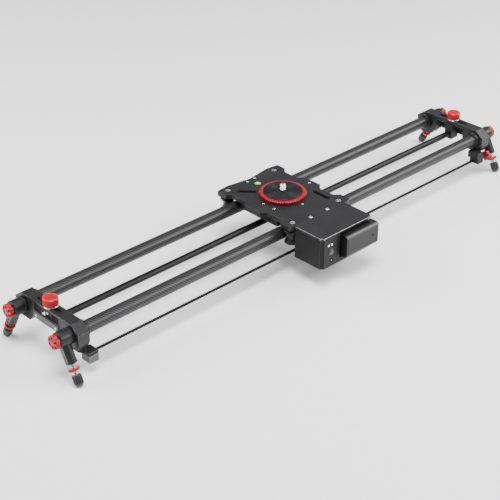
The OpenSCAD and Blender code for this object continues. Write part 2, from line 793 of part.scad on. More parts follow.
bracket(-1);  // bracket_left
bracket(1);  // bracket_right
rail(-rail_y);  // rail_front
rail(rail_y);  // rail_rear
rail_collars();
scale_plates();
frame_fasteners();
belt_arm_left();
belt_clamp_left();
belt_arm_right();
drive_belt();
tension_knob();
leg(-1, -1);  // leg_left_front
leg(-1, 1);  // leg_left_rear
leg(1, -1);  // leg_right_front
leg(1, 1);  // leg_right_rear
pivot_knob(-1, -1);  // pivot_knob_left_front
pivot_knob(-1, 1);  // pivot_knob_left_rear
pivot_knob(1, -1);  // pivot_knob_right_front
pivot_knob(1, 1);  // pivot_knob_right_rear
lock_ring(-1, -1);  // lock_ring_left_front
lock_ring(-1, 1);  // lock_ring_left_rear
lock_ring(1, -1);  // lock_ring_right_front
lock_ring(1, 1);  // lock_ring_right_rear
foot(-1, -1);  // foot_left_front
foot(-1, 1);  // foot_left_rear
foot(1, -1);  // foot_right_front
foot(1, 1);  // foot_right_rear
tracking_rod();
rod_block(-1);  // rod_block_left
rod_block(1);  // rod_block_right
rod_clamp_screws();
clamp_knob(-1);  // clamp_knob_left
clamp_knob(1);  // clamp_knob_right
carriage_plate();
carriage_frame();
axle_bolts();
roller(-1, -1);  // roller_left_front
roller(-1, 1);  // roller_left_rear
roller(1, -1);  // roller_right_front
roller(1, 1);  // roller_right_rear
bubble_level();
plate_screws();
motor_housing();
housing_cover();
control_panel();
circuit_board();
status_leds();
power_button();
battery_plate();
battery();
gear_motor();
drive_pulley();
idler(-1);  // idler_left
idler(1);  // idler_right
guide_block();
pan_shaft();
pan_ring();
head_platform();
head_stud();
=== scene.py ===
"""Finished looks of a motorised camera slider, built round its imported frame. Metres, +Z up."""
import json
import math

import bmesh
import bpy
from mathutils import Matrix, Vector


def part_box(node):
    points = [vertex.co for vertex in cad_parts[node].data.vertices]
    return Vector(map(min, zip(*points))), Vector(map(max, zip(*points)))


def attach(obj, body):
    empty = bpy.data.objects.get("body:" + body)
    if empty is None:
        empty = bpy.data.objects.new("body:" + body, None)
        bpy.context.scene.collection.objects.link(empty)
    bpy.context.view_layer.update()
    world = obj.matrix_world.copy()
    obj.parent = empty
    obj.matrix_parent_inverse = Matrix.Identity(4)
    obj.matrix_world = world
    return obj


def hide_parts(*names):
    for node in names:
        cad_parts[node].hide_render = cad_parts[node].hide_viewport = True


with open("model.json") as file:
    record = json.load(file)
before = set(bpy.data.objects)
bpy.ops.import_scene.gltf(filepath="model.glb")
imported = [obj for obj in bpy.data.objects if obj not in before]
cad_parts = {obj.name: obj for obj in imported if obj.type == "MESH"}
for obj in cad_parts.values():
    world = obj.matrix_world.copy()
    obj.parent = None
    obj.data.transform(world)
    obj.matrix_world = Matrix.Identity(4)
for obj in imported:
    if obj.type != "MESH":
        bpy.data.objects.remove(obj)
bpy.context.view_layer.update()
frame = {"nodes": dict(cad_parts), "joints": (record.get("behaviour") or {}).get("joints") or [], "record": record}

MM = 0.001
NODES = frame["nodes"]
BODY_OF = {n: b for b, members in frame["record"]["behaviour"]["bodies"].items() for n in members}
JOINTS = {j["name"]: j for j in frame["joints"]}
SIDES = {"left": -1, "right": 1}
ROWS = {"front": -1, "rear": 1}

# ---- places read from the frame ----

rail_low, rail_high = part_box("rail_front")
RAIL_R = (rail_high.z - rail_low.z) / 2
RAIL_Y = -(rail_high.y + rail_low.y) / 2
RAIL_Z = (rail_high.z + rail_low.z) / 2
ring_low, ring_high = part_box("pan_ring")
PAN = Vector(((ring_low.x + ring_high.x) / 2, (ring_low.y + ring_high.y) / 2, ring_low.z))

# ---- sizes shared by several pieces ----

SHAFT_HOLE_R = 4.05 * MM     # hole of whatever turns or slides on an 8 mm shaft
PIVOT_KNOB_R = 11.5 * MM
TENSION_KNOB_R = 9.5 * MM
LEG_BARREL_R, LEG_BARREL_LENGTH = 12.75 * MM, 22.5 * MM
LEG_TUBE_R = 9 * MM
LOCK_RING_R, LOCK_RING_HEIGHT = 8.75 * MM, 4 * MM
FOOT_LENGTH = 19 * MM
FOOT_TO_RING, RING_TO_TUBE = 6 * MM, 7 * MM
LONGEST_SCREW_HEAD = 10 * MM
RIBS = 56


# ---- shaping helpers ----

def mm(*points):
    """Profile points given in millimetres."""
    return [(height * MM, radius * MM) for height, radius in points]


def lathe(profile, steps=48):
    """Spins (height, radius) points round Z."""
    bm = bmesh.new()
    verts = [bm.verts.new((radius, 0, height)) for height, radius in profile]
    edges = [bm.edges.new(pair) for pair in zip(verts, verts[1:])]
    bmesh.ops.spin(bm, geom=verts + edges, cent=(0, 0, 0), axis=(0, 0, 1), dvec=(0, 0, 0),
                   angle=math.tau, steps=steps, use_merge=True, use_duplicate=False)
    bmesh.ops.remove_doubles(bm, verts=bm.verts, dist=1e-6)
    bmesh.ops.recalc_face_normals(bm, faces=bm.faces)
    return bm


def drum(low, high, radius, chamfer, hole=0.0):
    """Profile of a chamfered cylinder, or of a tube if it has a hole."""
    outer = [(low, radius - chamfer), (low + chamfer, radius), (high - chamfer, radius), (high, radius - chamfer)]
    inner = [(low, hole), *outer, (high, hole)]
    return inner + [(low, hole)] if hole else inner


def thread(low, high, radius, pitch, tip=0.0):
    """Profile of a threaded stud, closed at both ends."""
    turns = max(1, round((high - low - tip) / pitch))
    step = (high - low - tip) / turns
    crests = [(low, radius * 0.86)]
    for n in range(turns):
        crests += [(low + (n + 0.35) * step, radius), (low + (n + 0.6) * step, radius),
                   (low + (n + 1) * step, radius * 0.86)]
    return [(low, 0)] + crests + [(high, radius * 0.86 - tip * 0.8), (high, 0)]


def flute(bm, count, depth, low, high, narrow=1.0):
    """Draws the skin in, count times round Z, between two heights."""
    for v in bm.verts:
        radius = v.co.xy.length
        if low <= v.co.z <= high and radius > 0:
            wave = (0.5 - 0.5 * math.cos(count * math.atan2(v.co.y, v.co.x))) ** narrow
            v.co.xy *= (radius - depth * wave) / radius
    return bm


def paint_shade_in_grooves(bm, count, reach, number):
    """Paints shade on the faces down in the flutes, further out than that reach, with their own darker finish."""
    for face in bm.faces:
        middle = face.calc_center_median()
        if middle.xy.length > reach and math.cos(count * math.atan2(middle.y, middle.x)) < -0.2:
            face.material_index = number


def six_sided(bm, reach):
    """Turns every circle up to that reach from Z into a hexagon."""
    sector = math.pi / 3
    for v in bm.verts:
        if 0 < v.co.xy.length <= reach:
            angle = math.atan2(v.co.y, v.co.x) % sector - sector / 2
            v.co.xy *= math.cos(sector / 2) / math.cos(angle)
    return bm


def block(low, high, bevel=0.0, segments=2):
    """Box between two corners, with its edges rounded."""
    low, high = Vector(low), Vector(high)
    bm = bmesh.new()
    bmesh.ops.create_cube(bm, size=1)
    bmesh.ops.scale(bm, vec=high - low, verts=bm.verts)
    bmesh.ops.translate(bm, vec=(low + high) / 2, verts=bm.verts)
    if bevel:
        bmesh.ops.bevel(bm, geom=bm.edges[:], offset=bevel, offset_type="OFFSET", segments=segments,
                        profile=0.5, affect="EDGES", material=-1)
    return bm


def put(bm, *matrices):
    """Places a shape, the last matrix first, and keeps its faces outwards."""
    for matrix in reversed(matrices):
        bm.transform(matrix)
    bmesh.ops.recalc_face_normals(bm, faces=bm.faces)
    return bm


def move(x=0.0, y=0.0, z=0.0):
    return Matrix.Translation((x, y, z))


def turn(degrees, axis):
    return Matrix.Rotation(math.radians(degrees), 4, axis)


def flip_x(side):
    return Matrix.Diagonal((side, 1, 1, 1))


def facing_x(side, x, y, z):
    """Stands Z out along X, away from the middle, at a point."""
    return move(x, y, z) @ turn(90 * side, "Y")


def facing_front(x, y, z):
    """Stands Z out along -Y at a point."""
    return move(x, y, z) @ turn(90, "X")


def combine(*parts):
    """Joins (shape, finish number) pairs; a number of None keeps the shape's own numbers."""
    whole = bmesh.new()
    for part, number in parts:
        if number is not None:
            for face in part.faces:
                face.material_index = number
        loose = bpy.data.meshes.new("loose")
        part.to_mesh(loose)
        part.free()
        whole.from_mesh(loose)
        bpy.data.meshes.remove(loose)
    return whole


def make(name, bm, body, finishes, stands_for, sharp=32):
    """Makes a piece of a shape: its finishes, the body it rides on and the nodes it stands for."""
    mesh = bpy.data.meshes.new(name)
    bm.to_mesh(mesh)
    bm.free()
    for finish in finishes:
        mesh.materials.append(FINISH[finish])
    mesh.shade_smooth()
    mesh.set_sharp_from_angle(angle=math.radians(sharp))
    piece = bpy.data.objects.new(name, mesh)
    bpy.context.scene.collection.objects.link(piece)
    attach(piece, body)
    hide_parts(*stands_for)
    even = piece.modifiers.new("even_faces", "WEIGHTED_NORMAL")
    even.keep_sharp, even.weight = True, 80


def make_milled(node, width, finishes, sharp=35):
    """Makes a node's piece out of its own solid with the edges eased."""
    make(f"{node}_milled", milled(node, width, sharp=sharp), BODY_OF[node], finishes, [node])


def milled(node, width, segments=2, sharp=35):
    """Copy of a node's solid with every sharp edge eased. The eased faces have number 1."""
    bm = bmesh.new()
    bm.from_mesh(NODES[node].data)
    bmesh.ops.remove_doubles(bm, verts=bm.verts, dist=1e-5)
    bmesh.ops.dissolve_limit(bm, angle_limit=math.radians(0.6), verts=bm.verts[:], edges=bm.edges[:])
    for face in bm.faces:
        face.material_index = 0
    edges = [e for e in bm.edges if len(e.link_faces) == 2 and e.calc_face_angle(0) > math.radians(sharp)]
    eased = bmesh.ops.bevel(bm, geom=edges, offset=width, offset_type="OFFSET", segments=segments,
                            profile=0.5, affect="EDGES", clamp_overlap=True, material=-1)
    for face in eased["faces"]:
        face.material_index = 1
    return bm


def slice_across(bm, axis, *places):
    """Adds an edge loop through a shape at each place along X (0), Y (1) or Z (2)."""
    for place in places:
        point, normal = Vector(), Vector()
        point[axis], normal[axis] = place, 1
        bmesh.ops.bisect_plane(bm, geom=bm.verts[:] + bm.edges[:] + bm.faces[:], dist=1e-7,
                               plane_co=point, plane_no=normal)


def solids(node):
    """Lowest and highest corner of each separate solid of a node."""
    bm = bmesh.new()
    bm.from_mesh(NODES[node].data)
    bmesh.ops.remove_doubles(bm, verts=bm.verts, dist=1e-5)
    left, found = set(bm.verts), []
    while left:
        reached, queue = set(), [left.pop()]
        while queue:
            vert = queue.pop()
            reached.add(vert)
            near = {e.other_vert(vert) for e in vert.link_edges} & left
            left -= near
            queue += near
        corners = list(zip(*(v.co for v in reached)))
        found.append((Vector(map(min, corners)), Vector(map(max, corners))))
    bm.free()
    return sorted(found, key=lambda pair: tuple(pair[0]))


# ---- finishes ----

def node_group(name, inputs, outputs):
    """Empty group with its named sockets; returns its tree, its input node and its output node."""
    tree = bpy.data.node_groups.new(name, "ShaderNodeTree")
    for label, kind, value in inputs:
        socket = tree.interface.new_socket(label, in_out="INPUT", socket_type="NodeSocket" + kind)
        if value is not None:
            socket.default_value = value
    for label, kind in outputs:
        tree.interface.new_socket(label, in_out="OUTPUT", socket_type="NodeSocket" + kind)
    return tree, tree.nodes.new("NodeGroupInput"), tree.nodes.new("NodeGroupOutput")


def maths(tree, operation, *values):
    """One Math node fed with sockets or numbers; returns its result."""
    made = tree.nodes.new("ShaderNodeMath")
    made.operation = operation
    for socket, value in zip(made.inputs, values):
        if isinstance(value, bpy.types.NodeSocket):
            tree.links.new(value, socket)
        else:
            socket.default_value = value
    return made.outputs[0]


def noise(tree, vector, scale, detail):
    made = tree.nodes.new("ShaderNodeTexNoise")
    made.inputs["Detail"].default_value = detail
    tree.links.new(vector, made.inputs["Vector"])
    tree.links.new(scale, made.inputs["Scale"])
    return made.outputs["Fac"]


def blend_colours(tree, factor, first, second):
    made = tree.nodes.new("ShaderNodeMix")
    made.data_type = "RGBA"
    for socket, value in ((made.inputs[0], factor), (made.inputs[6], first), (made.inputs[7], second)):
        tree.links.new(value, socket)
    return made.outputs[2]


def spread(tree, value, low, high, to_low=0.0, to_high=1.0):
    made = tree.nodes.new("ShaderNodeMapRange")
    for socket, given in zip(made.inputs, (value, low, high, to_low, to_high)):
        if isinstance(given, bpy.types.NodeSocket):
            tree.links.new(given, socket)
        else:
            socket.default_value = given
    return made.outputs[0]


def grain_group():
    """Cloudy colour and gloss with a fine grain: what cast, anodised and moulded faces share."""
    tree, given, result = node_group(
        "surface_grain",
        [("Vector", "Vector", None), ("Colour", "Color", (0, 0, 0, 1)), ("Tint", "Color", (0, 0, 0, 1)),
         ("Cloud Scale", "Float", 60.0), ("Grain Scale", "Float", 1500.0),
         ("Gloss Low", "Float", 0.3), ("Gloss High", "Float", 0.5)],
        [("Colour", "Color"), ("Roughness", "Float"), ("Height", "Float")])
    cloud = spread(tree, noise(tree, given.outputs["Vector"], given.outputs["Cloud Scale"], 4.0), 0.3, 0.7)
    speck = noise(tree, given.outputs["Vector"], given.outputs["Grain Scale"], 2.0)
    specks = spread(tree, speck, 0.3, 0.7)
    mottled = maths(tree, "MULTIPLY_ADD", specks, 0.35, maths(tree, "MULTIPLY", cloud, 0.65))
    tree.links.new(blend_colours(tree, mottled, given.outputs["Colour"], given.outputs["Tint"]),
                   result.inputs["Colour"])
    tree.links.new(spread(tree, mottled, 0.0, 1.0, given.outputs["Gloss Low"], given.outputs["Gloss High"]),
                   result.inputs["Roughness"])
    tree.links.new(speck, result.inputs["Height"])
    return tree


def twill_group():
    """Two-over-two twill on a tube along X: the crossing tows and their crowns."""
    tree, given, result = node_group(
        "carbon_twill",
        [("Vector", "Vector", None), ("Radius", "Float", 0.01), ("Tow", "Float", 0.002)],
        [("Weft", "Float"), ("Height", "Float")])
    split = tree.nodes.new("ShaderNodeSeparateXYZ")
    tree.links.new(given.outputs["Vector"], split.inputs[0])
    along = maths(tree, "DIVIDE", split.outputs["X"], given.outputs["Tow"])
    angle = maths(tree, "ARCTAN2", split.outputs["Y"], split.outputs["Z"])
    around = maths(tree, "DIVIDE", maths(tree, "MULTIPLY", angle, given.outputs["Radius"]), given.outputs["Tow"])
    step = maths(tree, "ADD", maths(tree, "FLOOR", along), maths(tree, "FLOOR", around))
    weft = maths(tree, "LESS_THAN", maths(tree, "FLOORED_MODULO", step, 4.0), 1.5)
    across = []
    for place in (along, around):
        centred = maths(tree, "SUBTRACT", maths(tree, "FRACT", place), 0.5)
        squared = maths(tree, "MULTIPLY", centred, centred)
        across.append(maths(tree, "SUBTRACT", 1.0, maths(tree, "MULTIPLY", squared, 3.2)))
    tree.links.new(weft, result.inputs["Weft"])
    tree.links.new(spread(tree, weft, 0.0, 1.0, across[1], across[0]), result.inputs["Height"])
    return tree


def rule_group():
    """Fine parallel machining or moulding lines across one direction."""
    tree, given, result = node_group(
        "fine_lines", [("Place", "Float", 0.0), ("Pitch", "Float", 0.001)], [("Height", "Float")])
    count = maths(tree, "DIVIDE", given.outputs["Place"], given.outputs["Pitch"])
    wave = maths(tree, "SINE", maths(tree, "MULTIPLY", count, math.tau))
    tree.links.new(maths(tree, "MULTIPLY_ADD", wave, 0.5, 0.5), result.inputs["Height"])
    return tree


GRAIN, TWILL, RULES = grain_group(), twill_group(), rule_group()
FINISH = {}


def use_group(tree, group, vector=None, **values):
    made = tree.nodes.new("ShaderNodeGroup")
    made.node_tree = group
    if vector is not None:
        tree.links.new(vector, made.inputs["Vector"])
    for label, value in values.items():
        made.inputs[label.replace("_", " ")].default_value = value
    return made


def finish(name, colour, tint, gloss=(0.35, 0.5), metallic=0.0, cloud=60.0, grain=1500.0, bump=0.15,
           stretch=(1, 1, 1), depth=0.05 * MM, **sockets):
    """A grained finish. Values that hold all over go on the shader's own sockets."""
    material = bpy.data.materials.new(name)
    material.use_nodes = True
    tree = material.node_tree
    shader = tree.nodes["Principled BSDF"]
    place = tree.nodes.new("ShaderNodeTexCoord")
    mapping = tree.nodes.new("ShaderNodeMapping")
    mapping.inputs["Scale"].default_value = stretch
    tree.links.new(place.outputs["Object"], mapping.inputs["Vector"])
    surface = use_group(tree, GRAIN, mapping.outputs["Vector"], Colour=(*colour, 1), Tint=(*tint, 1),
                        Cloud_Scale=cloud, Grain_Scale=grain, Gloss_Low=gloss[0], Gloss_High=gloss[1])
    relief = tree.nodes.new("ShaderNodeBump")
    relief.inputs["Strength"].default_value = bump
    relief.inputs["Distance"].default_value = depth
    tree.links.new(surface.outputs["Colour"], shader.inputs["Base Color"])
    tree.links.new(surface.outputs["Roughness"], shader.inputs["Roughness"])
    tree.links.new(surface.outputs["Height"], relief.inputs["Height"])
    tree.links.new(relief.outputs["Normal"], shader.inputs["Normal"])
    shader.inputs["Metallic"].default_value = metallic
    for label, value in sockets.items():
        shader.inputs[label.replace("_", " ")].default_value = value
    FINISH[name] = material
    return material


def parts_of(material):
    """The tree of a finish, its bump node and its placed coordinates."""
    tree = material.node_tree
    by_kind = {n.bl_idname: n for n in tree.nodes}
    return tree, by_kind["ShaderNodeBump"], by_kind["ShaderNodeMapping"]


def carbon(name, centre_y):
    """Clear-coated carbon tube along X at one place across; its weft tows are painted lighter as their sheen."""
    material = finish(name, (0.0025, 0.0025, 0.0025), (0.005, 0.005, 0.005), gloss=(0.3, 0.4), bump=0.9,
                      depth=0.12 * MM, Specular_IOR_Level=0.3, Coat_Weight=0.1, Coat_Roughness=0.14)
    tree, relief, mapping = parts_of(material)
    mapping.inputs["Location"].default_value = (0, -centre_y, -RAIL_Z)
    weave = use_group(tree, TWILL, mapping.outputs["Vector"], Radius=RAIL_R, Tow=1.35 * MM)
    surface = next(n for n in tree.nodes if n.bl_idname == "ShaderNodeGroup" and n.node_tree == GRAIN)
    # The weft tows are painted lighter: a painted sheen.
    weft_sheen = tree.nodes.new("ShaderNodeMix")
    weft_sheen.data_type = "RGBA"
    weft_sheen.inputs[7].default_value = (0.028, 0.028, 0.03, 1)
    tree.links.new(weave.outputs["Weft"], weft_sheen.inputs[0])
    tree.links.new(surface.outputs["Colour"], weft_sheen.inputs[6])
    tree.links.new(weft_sheen.outputs[2], tree.nodes["Principled BSDF"].inputs["Base Color"])
    tree.links.new(weave.outputs["Height"], relief.inputs["Height"])


def ruled(name, axis, pitch, **values):
    """A grained finish with fine parallel lines across one axis of the object."""
    material = finish(name, **values)
    tree, relief, mapping = parts_of(material)
    split = tree.nodes.new("ShaderNodeSeparateXYZ")
    tree.links.new(mapping.outputs["Vector"], split.inputs[0])
    lines = use_group(tree, RULES, Pitch=pitch)
    tree.links.new(split.outputs[axis], lines.inputs["Place"])
    tree.links.new(lines.outputs["Height"], relief.inputs["Height"])


def make_finishes():
    matt, satin = {"Specular_IOR_Level": 0.18}, {"Specular_IOR_Level": 0.28}
    finish("bracket_anodised", (0.009, 0.009, 0.0095), (0.016, 0.016, 0.017), (0.36, 0.46), grain=2200, **satin)
    finish("plate_anodised", (0.008, 0.008, 0.009), (0.015, 0.015, 0.016), (0.4, 0.52), cloud=35, grain=2400,
           **satin)
    # Eased edges in light metal: diamond-cut chamfers, made lighter still as a painted highlight line along them.
    finish("cut_edge_and_painted_sheen", (0.16, 0.16, 0.165), (0.26, 0.26, 0.265), (0.22, 0.34), 1.0, cloud=400)
    # Lighter edge finish for dark parts: a painted highlight along their eased edges and bezels.
    finish("edge_painted_highlight", (0.035, 0.035, 0.036), (0.055, 0.055, 0.057), (0.3, 0.42), cloud=400)
    finish("collar_black", (0.006, 0.006, 0.006), (0.011, 0.011, 0.012), (0.3, 0.42), **satin)
    finish("scale_grey", (0.06, 0.06, 0.062), (0.085, 0.085, 0.087), (0.34, 0.46), 0.4, stretch=(1, 0.04, 1),
           grain=4000)
    finish("screw_steel", (0.55, 0.55, 0.56), (0.75, 0.75, 0.77), (0.2, 0.32), 1.0, cloud=500)
    finish("arm_black", (0.007, 0.007, 0.008), (0.013, 0.013, 0.014), (0.4, 0.52), **matt)
    finish("clamp_grey", (0.06, 0.06, 0.062), (0.09, 0.09, 0.092), (0.35, 0.48), 0.4, grain=2600)
    finish("belt_rubber", (0.005, 0.005, 0.005), (0.01, 0.01, 0.01), (0.55, 0.7), grain=3000, **matt)
    finish("red_anodised", (0.3, 0.0015, 0.006), (0.38, 0.003, 0.009), (0.3, 0.4), cloud=250, grain=2500,
           bump=0.08, **satin)
    # Lighter red for knob rims and caps: a painted highlight.
    finish("red_painted_highlight", (0.42, 0.006, 0.012), (0.5, 0.01, 0.018), (0.26, 0.34), cloud=300, **satin)
    # Dark red for the ring's grooves: painted shade.
    finish("red_painted_shade", (0.08, 0.001, 0.003), (0.12, 0.002, 0.004), (0.4, 0.5), cloud=300, **matt)
    finish("ring_red", (0.24, 0.003, 0.012), (0.36, 0.006, 0.02), (0.22, 0.34), 0.3, cloud=200, bump=0.08)
    finish("leg_anodised", (0.008, 0.0083, 0.009), (0.015, 0.0155, 0.0165), (0.32, 0.42), grain=2200, **satin)
    # Lighter finish on the leg tube's flat: a painted sheen.
    finish("leg_flat_painted_sheen", (0.03, 0.031, 0.033), (0.045, 0.046, 0.048), (0.26, 0.36), cloud=200)
    finish("foot_rubber", (0.007, 0.0085, 0.008), (0.014, 0.0165, 0.0155), (0.27, 0.37), grain=1800, bump=0.3)
    finish("rod_black", (0.003, 0.003, 0.003), (0.006, 0.006, 0.006), (0.28, 0.36), stretch=(0.05, 1, 1),
           bump=0.05, Specular_IOR_Level=0.2)
    finish("roller_black", (0.006, 0.006, 0.006), (0.012, 0.012, 0.012), (0.28, 0.4), **satin)
    # Green liquid with a faint glow of its own: painted glow.
    finish("level_green", (0.12, 0.55, 0.02), (0.18, 0.68, 0.05), (0.1, 0.16), bump=0.02,
           Emission_Color=(0.2, 0.75, 0.08, 1), Emission_Strength=0.25)
    finish("box_black", (0.003, 0.003, 0.0033), (0.007, 0.007, 0.0075), (0.42, 0.52), cloud=30, grain=1900,
           bump=0.4, **matt)
    finish("panel_black", (0.0035, 0.0035, 0.004), (0.007, 0.007, 0.0075), (0.34, 0.44), grain=2400, **matt)
    finish("board_green", (0.01, 0.09, 0.03), (0.02, 0.14, 0.05), (0.3, 0.42), cloud=200)
    # Glowing white: the status lights, which are lamps, and a painted glow on the level's bubble.
    finish("led_white", (0.85, 0.88, 0.92), (0.95, 0.97, 1.0), (0.12, 0.2), bump=0.02,
           Emission_Color=(0.9, 0.95, 1.0, 1), Emission_Strength=2.0)
    ruled("battery_grey", "Z", 1.1 * MM, colour=(0.005, 0.005, 0.0055), tint=(0.01, 0.01, 0.0105),
          gloss=(0.3, 0.4), bump=0.3, Specular_IOR_Level=0.3, depth=0.04 * MM, cloud=40)
    # Lighter grey for the battery's rounded long edges: a painted highlight.
    finish("battery_painted_highlight", (0.03, 0.03, 0.032), (0.05, 0.05, 0.053), (0.3, 0.4), cloud=40)
    finish("motor_steel", (0.32, 0.32, 0.33), (0.46, 0.46, 0.47), (0.28, 0.42), 1.0, cloud=180)
    finish("guide_grey", (0.04, 0.04, 0.042), (0.07, 0.07, 0.072), (0.36, 0.48))
    finish("platform_black", (0.005, 0.005, 0.006), (0.01, 0.01, 0.011), (0.36, 0.5), **matt)
    # Near black: the print of the scale graduations, and painted shade in the knob dimples, the leg slot, the plug
    # socket, the panel groove and the battery dimple.
    finish("print_and_painted_shade", (0.002, 0.002, 0.002), (0.004, 0.004, 0.004), (0.6, 0.8), **matt)
    for row, way in ROWS.items():
        carbon(f"carbon_{row}", way * RAIL_Y)


make_finishes()


# ---- rails, rod and collars ----

def rails():
    for row, way in ROWS.items():
        node = f"rail_{row}"
        low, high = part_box(node)
        tube = lathe(drum(low.x, high.x, RAIL_R, 0.6 * MM, hole=RAIL_R - 1.5 * MM), 96)
        put(tube, move(0, way * RAIL_Y, RAIL_Z) @ turn(90, "Y"))
        make(f"{node}_tube", tube, BODY_OF[node], [f"carbon_{row}"], [node])


def tracking_rod():
    low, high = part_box("tracking_rod")
    middle = (low + high) / 2
    bar = lathe(drum(low.x, high.x, (high.z - low.z) / 2, 0.8 * MM), 64)
    put(bar, move(0, middle.y, middle.z) @ turn(90, "Y"))
    make("tracking_rod_bar", bar, "tracking_rod", ["rod_black"], ["tracking_rod"])


def collars():
    """Clamp ring round each rail end, with a stepped lip and a clamp screw."""
    parts = []
    for low, high in solids("rail_collars"):
        side = 1 if low.x > 0 else -1
        y, z = (low.y + high.y) / 2, (low.z + high.z) / 2
        radius, length = (high.z - low.z) / 2, high.x - low.x
        hole, lip = RAIL_R + 0.02 * MM, RAIL_R + 1.1 * MM
        start = high.x if side > 0 else low.x
        profile = [(0, hole), (0, radius), (length - 2.2 * MM, radius), (length - 1.2 * MM, radius - 1 * MM),
                   (length - 1.2 * MM, lip), (length, lip - 0.4 * MM), (length, hole), (0, hole)]
        place = facing_x(-side, start, y, z)
        parts.append((put(lathe(profile, 64), place), 0))
        screw = lathe(mm((0, 0), (0, 1.9), (0.5, 1.9), (0.5, 0.9), (0.2, 0.9), (0.2, 0)), 24)
        parts.append((put(screw, move(start - side * length / 2, y, z + radius - 0.3 * MM)), 1))
    make("rail_collar_rings", combine(*parts), "frame", ["collar_black", "screw_steel"], ["rail_collars"])


# ---- screws ----

def socket_screw(radius, height, socket=0.5):
    """Button head standing on Z = 0 with a six-sided socket."""
    inner = radius * socket
    profile = [(0, 0), (0, radius), (height * 0.55, radius), (height * 0.85, radius * 0.9),
               (height, radius * 0.72), (height, inner), (height * 0.3, inner), (height * 0.3, 0)]
    return six_sided(lathe(profile, 36), inner * 1.01)


def frame_screws():
    """Pivot studs of the legs, screws of the scale plates and screws under the belt clamp."""
    parts = []
    for low, high in solids("frame_fasteners"):
        middle, size = (low + high) / 2, high - low
        side = 1 if middle.x > 0 else -1
        if size.x > LONGEST_SCREW_HEAD:
            shape = lathe(drum(-size.x / 2, size.x / 2, size.z / 2, 0.6 * MM), 32)
            place = facing_x(side, *middle)
        elif size.x < size.z:
            shape = socket_screw(size.z / 2, size.x)
            place = facing_x(side, low.x if side > 0 else high.x, middle.y, middle.z)
        else:
            shape = socket_screw(size.x / 2, size.z)
            place = move(middle.x, middle.y, high.z) @ turn(180, "X")
        parts.append((put(shape, place), 0))
    make("frame_screw_heads", combine(*parts), "frame", ["screw_steel"], ["frame_fasteners"])


def clamp_screws():
    """Upright clamp screws with their washers, and the index screw in each window."""
    parts = []
    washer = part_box("bracket_left")[1].z + 0.4 * MM
    for low, high in solids("rod_clamp_screws"):
        middle, size = (low + high) / 2, high - low
        side = 1 if middle.x > 0 else -1
        if size.z > LONGEST_SCREW_HEAD:
            place = move(middle.x, middle.y)
            disc = lathe(drum(washer, washer + 1.8 * MM, size.x / 2, 0.4 * MM, hole=2.9 * MM), 64)
            parts.append((put(lathe(thread(low.z, high.z, 3 * MM, 1 * MM), 32), place), 0))
            parts.append((put(disc, place), 0))
        else:
            place = facing_x(side, low.x if side > 0 else high.x, middle.y, middle.z)
            parts.append((put(socket_screw(size.z / 2, size.x, 0.4), place), 0))
    make("clamp_screw_set", combine(*parts), "tracking_rod", ["screw_steel"], ["rod_clamp_screws"])


def plate_screws():
    parts = []
    for low, high in solids("plate_screws"):
        middle, size = (low + high) / 2, high - low
        parts.append((put(socket_screw(size.x / 2, size.z, 0.42), move(middle.x, middle.y, low.z)), 0))
    make("plate_screw_heads", combine(*parts), "carriage", ["screw_steel"], ["plate_screws"])


# ---- knobs ----

def clamp_knobs():
    """Ribbed knobs on the tracking rod's clamp screws, with a dished top whose rim is painted lighter as a
    highlight.
    """
    for side in SIDES:
        node = f"clamp_knob_{side}"
        low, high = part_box(node)
        radius, height = (high.x - low.x) / 2, high.z - low.z
        rim, dish, hole, ribs = 1.5 * MM, 0.7 * MM, 3.06 * MM, 32
        profile = [(0, hole), (0, radius - 1 * MM), (0.8 * MM, radius), (1.2 * MM, radius),
                   (height - rim - 0.4 * MM, radius), (height - rim, radius),
                   (height - 0.5 * MM, radius - rim * 0.7), (height, radius - rim * 1.4),
                   (height, radius - 3 * MM), (height - dish, radius - 3.8 * MM), (height - dish, 0)]
        knob = flute(lathe(profile, 6 * ribs), ribs, 0.5 * MM, 1 * MM, height - rim - 0.2 * MM)
        # The top rim is painted in the lighter red: a painted highlight.
        for face in knob.faces:
            middle = face.calc_center_median()
            face.material_index = 1 if middle.z > height - rim * 1.05 and middle.xy.length > radius - 3 * MM else 0
        put(knob, move((low.x + high.x) / 2, (low.y + high.y) / 2, low.z))
        make(f"{node}_grip", combine((knob, None)), node, ["red_anodised", "red_painted_highlight"], [node])


